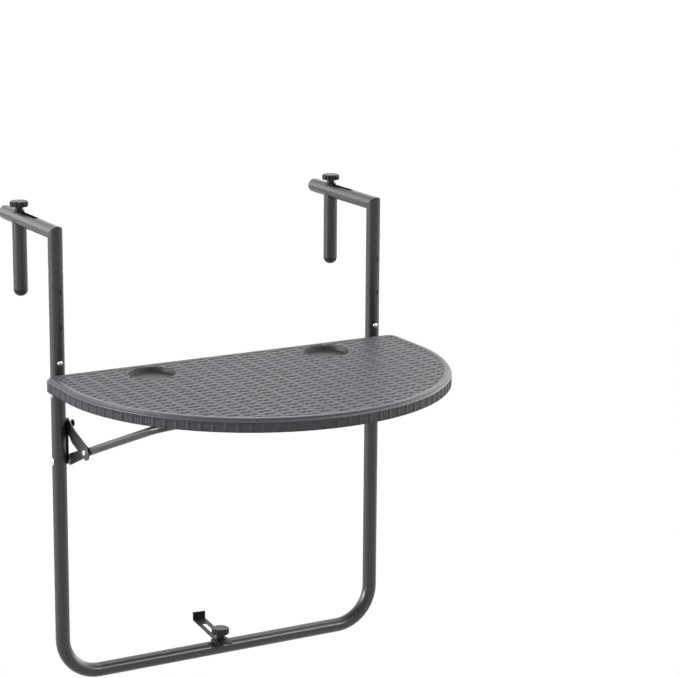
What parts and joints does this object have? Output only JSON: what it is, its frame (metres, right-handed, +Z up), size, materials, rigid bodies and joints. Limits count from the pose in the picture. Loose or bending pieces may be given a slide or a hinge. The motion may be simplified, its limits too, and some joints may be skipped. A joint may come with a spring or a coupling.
{
  "type": "folding balcony table",
  "caption": "Half-round folding table on a tubular frame that hooks over a balcony railing, with clamps, a folding brace with latches and a stabiliser strip.",
  "frame": {"origin": "the rail seat: midway between the two hooks, at the back face of their posts and on the underside of their arms", "axes": "+Z up, +Y towards the railing's far side, so the table stands out towards -Y; +X to the right seen from the front"},
  "size_m": [0.6, 0.602, 0.7259],
  "materials": {
    "powder_coat": "satin powder coat",
    "black_coat": "satin powder coat, black",
    "tabletop_plastic": "moulded weave, satin",
    "black_plastic": "moulded",
    "bright_steel": "zinc plated"
  },
  "bodies": {
    "frame": {"main_frame": "powder_coat", "hinge_pins": "bright_steel", "brace_pins": "bright_steel", "left_catch_plate": "black_coat", "right_catch_plate": "black_coat", "catch_studs": "black_coat", "stabiliser_saddle": "black_plastic", "stabiliser_nut": "bright_steel"},
    "left_hanger": {"left_hook_tube": "powder_coat", "left_inner_sleeve": "powder_coat", "left_arm_plug": "powder_coat", "left_button_spring": "bright_steel"},
    "left_button": {"left_snap_button": "bright_steel"},
    "left_clamp": {"left_clamp_post": "powder_coat", "left_clamp_foot": "black_plastic", "left_clamp_nut": "bright_steel", "left_clamp_washer": "black_plastic"},
    "left_knob": {"left_clamp_knob": "black_plastic", "left_clamp_screw": "bright_steel"},
    "right_hanger": {"right_hook_tube": "powder_coat", "right_inner_sleeve": "powder_coat", "right_arm_plug": "powder_coat", "right_button_spring": "bright_steel"},
    "right_button": {"right_snap_button": "bright_steel"},
    "right_clamp": {"right_clamp_post": "powder_coat", "right_clamp_foot": "black_plastic", "right_clamp_nut": "bright_steel", "right_clamp_washer": "black_plastic"},
    "right_knob": {"right_clamp_knob": "black_plastic", "right_clamp_screw": "bright_steel"},
    "table": {"tabletop": "tabletop_plastic", "left_hinge_bracket": "powder_coat", "right_hinge_bracket": "powder_coat", "bracket_screws": "bright_steel"},
    "brace": {"support_brace": "powder_coat", "latch_rivets": "bright_steel"},
    "left_latch": {"left_latch_plate": "powder_coat"},
    "right_latch": {"right_latch_plate": "powder_coat"},
    "stabiliser_pivot": {"stabiliser_washer": "black_plastic"},
    "stabiliser_slider": {"stabiliser_strip": "black_coat"},
    "stabiliser_grip": {"stabiliser_knob": "black_plastic", "stabiliser_screw": "bright_steel"}
  },
  "joints": [
    {"name": "table_fold", "type": "hinge", "parent": "frame", "child": "table", "pos_m": [0, -0.011, -0.2315], "axis": [1, 0, 0], "range_deg": [0, 90]},
    {"name": "brace_swing", "type": "hinge", "parent": "frame", "child": "brace", "pos_m": [0, -0.011, -0.336], "axis": [1, 0, 0], "range_deg": [0, 112.86]},
    {"name": "left_latch_swing", "type": "hinge", "parent": "brace", "child": "left_latch", "pos_m": [-0.2555, -0.07182, -0.31036], "axis": [1, 0, 0], "range_deg": [0, 130.61]},
    {"name": "left_hanger_slide", "type": "slide", "parent": "frame", "child": "left_hanger", "axis": [0, 0, 1], "range_m": [0, 0.107], "deforming": ["left_snap_button"]},
    {"name": "left_button_press", "type": "slide", "parent": "left_hanger", "child": "left_button", "axis": [0, 1, 0], "range_m": [0, 0.0045], "stiffness_N_per_m": 800, "springref_m": -0.003, "deforming": ["left_button_spring"]},
    {"name": "left_clamp_slide", "type": "slide", "parent": "left_hanger", "child": "left_clamp", "axis": [0, 1, 0], "range_m": [-0.0685, 0.0105]},
    {"name": "left_clamp_knob_turn", "type": "hinge", "parent": "left_clamp", "child": "left_knob", "pos_m": [-0.27, 0.126, 0.03], "axis": [0, 0, 1], "continuous": true},
    {"name": "right_latch_swing", "type": "hinge", "parent": "brace", "child": "right_latch", "pos_m": [0.2555, -0.07182, -0.31036], "axis": [1, 0, 0], "range_deg": [0, 130.61]},
    {"name": "right_hanger_slide", "type": "slide", "parent": "frame", "child": "right_hanger", "axis": [0, 0, 1], "range_m": [0, 0.107], "deforming": ["right_snap_button"]},
    {"name": "right_button_press", "type": "slide", "parent": "right_hanger", "child": "right_button", "axis": [0, 1, 0], "range_m": [0, 0.0045], "stiffness_N_per_m": 800, "springref_m": -0.003, "deforming": ["right_button_spring"]},
    {"name": "right_clamp_slide", "type": "slide", "parent": "right_hanger", "child": "right_clamp", "axis": [0, 1, 0], "range_m": [-0.0685, 0.0105]},
    {"name": "right_clamp_knob_turn", "type": "hinge", "parent": "right_clamp", "child": "right_knob", "pos_m": [0.27, 0.126, 0.03], "axis": [0, 0, 1], "continuous": true},
    {"name": "stabiliser_swivel", "type": "hinge", "parent": "frame", "child": "stabiliser_pivot", "pos_m": [-0.0016, -0.011, -0.663], "axis": [0, 0, 1], "continuous": true},
    {"name": "stabiliser_slide", "type": "slide", "parent": "stabiliser_pivot", "child": "stabiliser_slider", "axis": [0.1097, 0.994, 0], "range_m": [-0.0718, 0]},
    {"name": "stabiliser_knob_turn", "type": "hinge", "parent": "frame", "child": "stabiliser_grip", "pos_m": [-0.0016, -0.011, -0.65], "axis": [0, 0, 1], "continuous": true}
  ],
  "couplings": [
    {"joint": "brace_swing", "follows": "table_fold", "ratio": 1.254},
    {"joint": "left_latch_swing", "follows": "table_fold", "ratio": 1.4512},
    {"joint": "right_latch_swing", "follows": "table_fold", "ratio": 1.4512}
  ]
}
